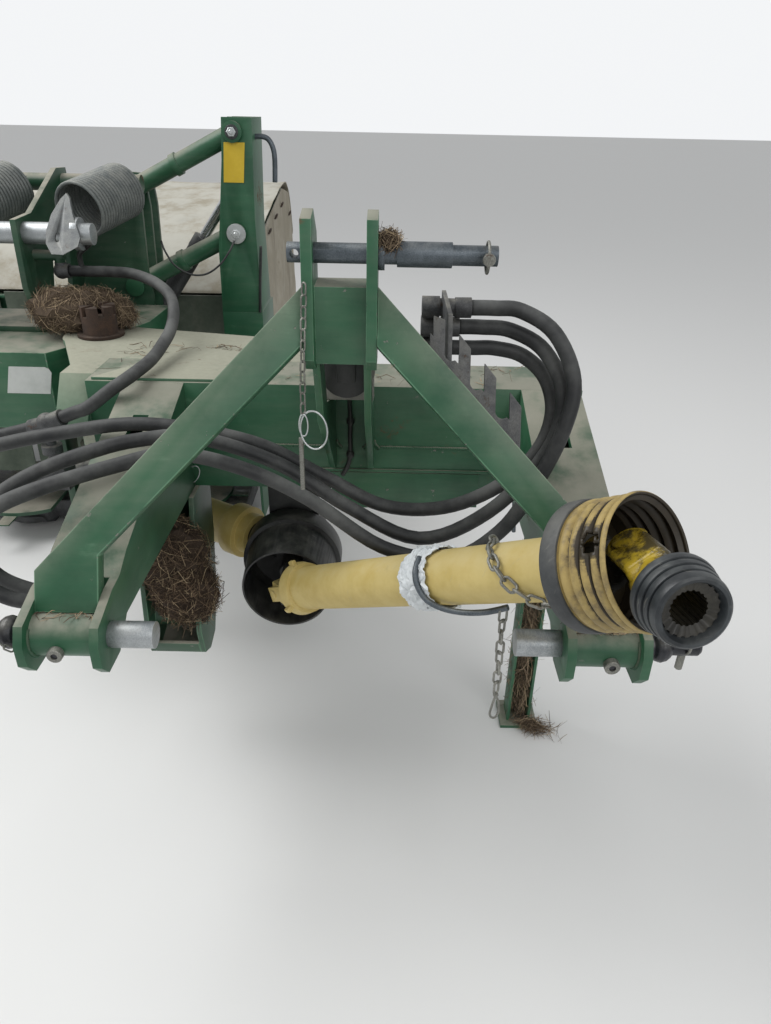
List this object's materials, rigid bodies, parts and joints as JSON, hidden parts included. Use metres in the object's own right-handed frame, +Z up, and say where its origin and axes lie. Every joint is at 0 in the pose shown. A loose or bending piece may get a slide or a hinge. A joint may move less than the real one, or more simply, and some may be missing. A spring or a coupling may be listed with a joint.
{
  "type": "disc mower conditioner",
  "caption": "Three point mounted disc mower conditioner with a sprung parallel link boom, a canopy over cutting discs and a tined rotor, and a guarded drive shaft, parked on its stand.",
  "frame": {"origin": "on the ground below the middle of the machine's footprint; the hitch's centre plane is at x = 1.400 m and the lower pins at y = -0.995 m", "axes": "+X across the machine towards the hitch, as seen from the front on the right, +Y backwards from the hitch, +Z up"},
  "size_m": [3.8068, 2.5151, 1.224],
  "materials": {
    "green_paint": "worn satin paint, scratched and dusty",
    "dark_green_paint": "dirty dark green paint",
    "dusty_plate": "green paint under a beige layer of dust",
    "galvanised": "dull grey steel",
    "dark_steel": "dark scaly steel",
    "rusty_iron": "rusty and greasy",
    "yellow_guard": "faded yellow plastic with grease",
    "yellow_yoke": "yellow paint under black grease",
    "black_plastic": "black, scuffed",
    "hose_rubber": "dusty rubber",
    "canvas": "dusty coated canvas",
    "dark_canvas": "dark coated canvas"
  },
  "bodies": {
    "headstock": {"headstock_beam": "green_paint", "headstock_top_plate": "dusty_plate", "mast": "green_paint", "mast_leg_left": "green_paint", "mast_leg_right": "green_paint", "hitch_arm_left": "green_paint", "hitch_arm_right": "green_paint", "lower_pin_left": "galvanised", "lower_pin_right": "galvanised", "top_link_pin": "dark_steel", "hose_rack": "dark_steel", "canister": "black_plastic", "kingpin": "rusty_iron", "trough_bracket": "green_paint", "input_bell": "black_plastic", "cross_shaft_guard": "yellow_guard", "swivel_gearbox": "dark_green_paint", "stand_bracket": "green_paint", "hose_a": "hose_rubber", "hose_b": "hose_rubber", "hose_c": "hose_rubber", "hose_d": "hose_rubber", "hose_tee": "dark_steel", "hose_fittings": "dark_steel"},
    "stand": {"stand_leg": "green_paint"},
    "drive_shaft": {"pto_tube": "yellow_guard", "pto_funnel": "yellow_guard"},
    "shaft_yoke": {"pto_yoke": "yellow_yoke"},
    "boom": {"boom_box": "green_paint", "boom_tower": "dark_green_paint", "spring_shaft": "galvanised", "spring_right": "galvanised", "spring_left": "galvanised", "swing_gearbox": "dark_green_paint"},
    "lower_link": {"lower_link": "green_paint"},
    "upper_link": {"upper_link": "green_paint"},
    "lift_barrel": {"lift_barrel": "dark_steel"},
    "lift_rod": {"lift_rod": "galvanised"},
    "output_shaft": {"output_shaft": "yellow_guard"},
    "output_shaft_inner": {"output_shaft_inner": "yellow_guard"},
    "mower": {"mower_post": "green_paint", "mower_frame": "green_paint", "mower_gearbox": "dark_green_paint", "canopy": "canvas", "cutter_bar": "dark_steel", "rotor_cover": "green_paint", "swath_boards": "green_paint", "front_apron": "dark_canvas", "inner_curtain": "canvas"},
    "tine_rotor": {"tine_rotor": "galvanised"},
    "outer_guard": {"outer_guard": "canvas"},
    "front_guard": {"front_guard": "dark_canvas"},
    "disc_1": {"disc_1": "dark_green_paint"},
    "disc_2": {"disc_2": "dark_green_paint"},
    "disc_3": {"disc_3": "dark_green_paint"},
    "disc_4": {"disc_4": "dark_green_paint"},
    "disc_5": {"disc_5": "dark_green_paint"},
    "disc_6": {"disc_6": "dark_green_paint"}
  },
  "joints": [
    {"name": "boom_swing", "type": "hinge", "parent": "headstock", "child": "boom", "pos_m": [0.848, -0.217, 0.7], "axis": [0, 0, 1], "range_deg": [-28, 0]},
    {"name": "mower_lift", "type": "hinge", "parent": "boom", "child": "lower_link", "pos_m": [0.819, 0.175, 0.839], "axis": [0, -1, 0], "range_deg": [0, 35]},
    {"name": "mower_level", "type": "hinge", "parent": "lower_link", "child": "mower", "pos_m": [1.08569, 0.175, 0.97197], "axis": [0, -1, 0], "range_deg": [-36, 1]},
    {"name": "upper_link_pivot", "type": "hinge", "parent": "boom", "child": "upper_link", "pos_m": [0.825, 0.175, 1.061], "axis": [0, -1, 0], "range_deg": [-1, 36]},
    {"name": "lift_barrel_pivot", "type": "hinge", "parent": "boom", "child": "lift_barrel", "pos_m": [0.8, 0.2416, 0.7], "axis": [0, -1, 0], "range_deg": [-1, 19.6]},
    {"name": "lift_rod_slide", "type": "slide", "parent": "lift_barrel", "child": "lift_rod", "axis": [0.5866, 0, 0.8099], "range_m": [-0.002, 0.0622]},
    {"name": "output_shaft_pivot", "type": "hinge", "parent": "boom", "child": "output_shaft", "pos_m": [0.838, -0.087, 0.356], "axis": [0.7178, -0.0645, 0.6932], "range_deg": [-1, 28.3]},
    {"name": "output_shaft_slide", "type": "slide", "parent": "output_shaft", "child": "output_shaft_inner", "axis": [-0.1147, 0.9712, 0.2091], "range_m": [-0.002, 0.0856]},
    {"name": "stand_fold", "type": "hinge", "parent": "headstock", "child": "stand", "pos_m": [1.78, -0.48, 0.562], "axis": [1, 0, 0], "range_deg": [0, 90]},
    {"name": "drive_shaft_swing", "type": "hinge", "parent": "headstock", "child": "drive_shaft", "pos_m": [1.278, -0.62, 0.44], "axis": [0, 0, 1], "range_deg": [-42, 0]},
    {"name": "yoke_droop", "type": "hinge", "parent": "drive_shaft", "child": "shaft_yoke", "pos_m": [1.73483, -1.12202, 0.83002], "axis": [0.5976, -0.0762, -0.7981], "range_deg": [-39.5, 0]},
    {"name": "outer_guard_hinge", "type": "hinge", "parent": "mower", "child": "outer_guard", "pos_m": [-1.9043, 0.775, 0.8], "axis": [0, 1, 0], "range_deg": [0, 80]},
    {"name": "front_guard_hinge", "type": "hinge", "parent": "mower", "child": "front_guard", "pos_m": [-0.7, 0.3013, 0.77], "axis": [-1, 0, 0], "range_deg": [0, 80]},
    {"name": "tine_rotor_spin", "type": "hinge", "parent": "mower", "child": "tine_rotor", "pos_m": [-0.4, 0.855, 0.42], "axis": [1, 0, 0], "continuous": true},
    {"name": "disc_1_spin", "type": "hinge", "parent": "mower", "child": "disc_1", "pos_m": [0.75, 0.435, 0.11], "axis": [0, 0, 1], "continuous": true},
    {"name": "disc_2_spin", "type": "hinge", "parent": "mower", "child": "disc_2", "pos_m": [0.29, 0.435, 0.11], "axis": [0, 0, 1], "continuous": true},
    {"name": "disc_3_spin", "type": "hinge", "parent": "mower", "child": "disc_3", "pos_m": [-0.17, 0.435, 0.11], "axis": [0, 0, 1], "continuous": true},
    {"name": "disc_4_spin", "type": "hinge", "parent": "mower", "child": "disc_4", "pos_m": [-0.63, 0.435, 0.11], "axis": [0, 0, 1], "continuous": true},
    {"name": "disc_5_spin", "type": "hinge", "parent": "mower", "child": "disc_5", "pos_m": [-1.09, 0.435, 0.11], "axis": [0, 0, 1], "continuous": true},
    {"name": "disc_6_spin", "type": "hinge", "parent": "mower", "child": "disc_6", "pos_m": [-1.55, 0.435, 0.11], "axis": [0, 0, 1], "continuous": true}
  ],
  "couplings": [
    {"joint": "mower_level", "follows": "mower_lift", "ratio": -1},
    {"joint": "upper_link_pivot", "follows": "mower_lift", "ratio": 1},
    {"joint": "lift_barrel_pivot", "follows": "mower_lift", "ratio": 0.5306},
    {"joint": "lift_rod_slide", "follows": "mower_lift", "m_per_rad": 0.0986},
    {"joint": "output_shaft_pivot", "follows": "mower_lift", "ratio": 0.7803},
    {"joint": "output_shaft_slide", "follows": "mower_lift", "m_per_rad": 0.13685},
    {"joint": "disc_2_spin", "follows": "disc_1_spin", "ratio": -1},
    {"joint": "disc_3_spin", "follows": "disc_1_spin", "ratio": 1},
    {"joint": "disc_4_spin", "follows": "disc_1_spin", "ratio": -1},
    {"joint": "disc_5_spin", "follows": "disc_1_spin", "ratio": 1},
    {"joint": "disc_6_spin", "follows": "disc_1_spin", "ratio": -1}
  ]
}
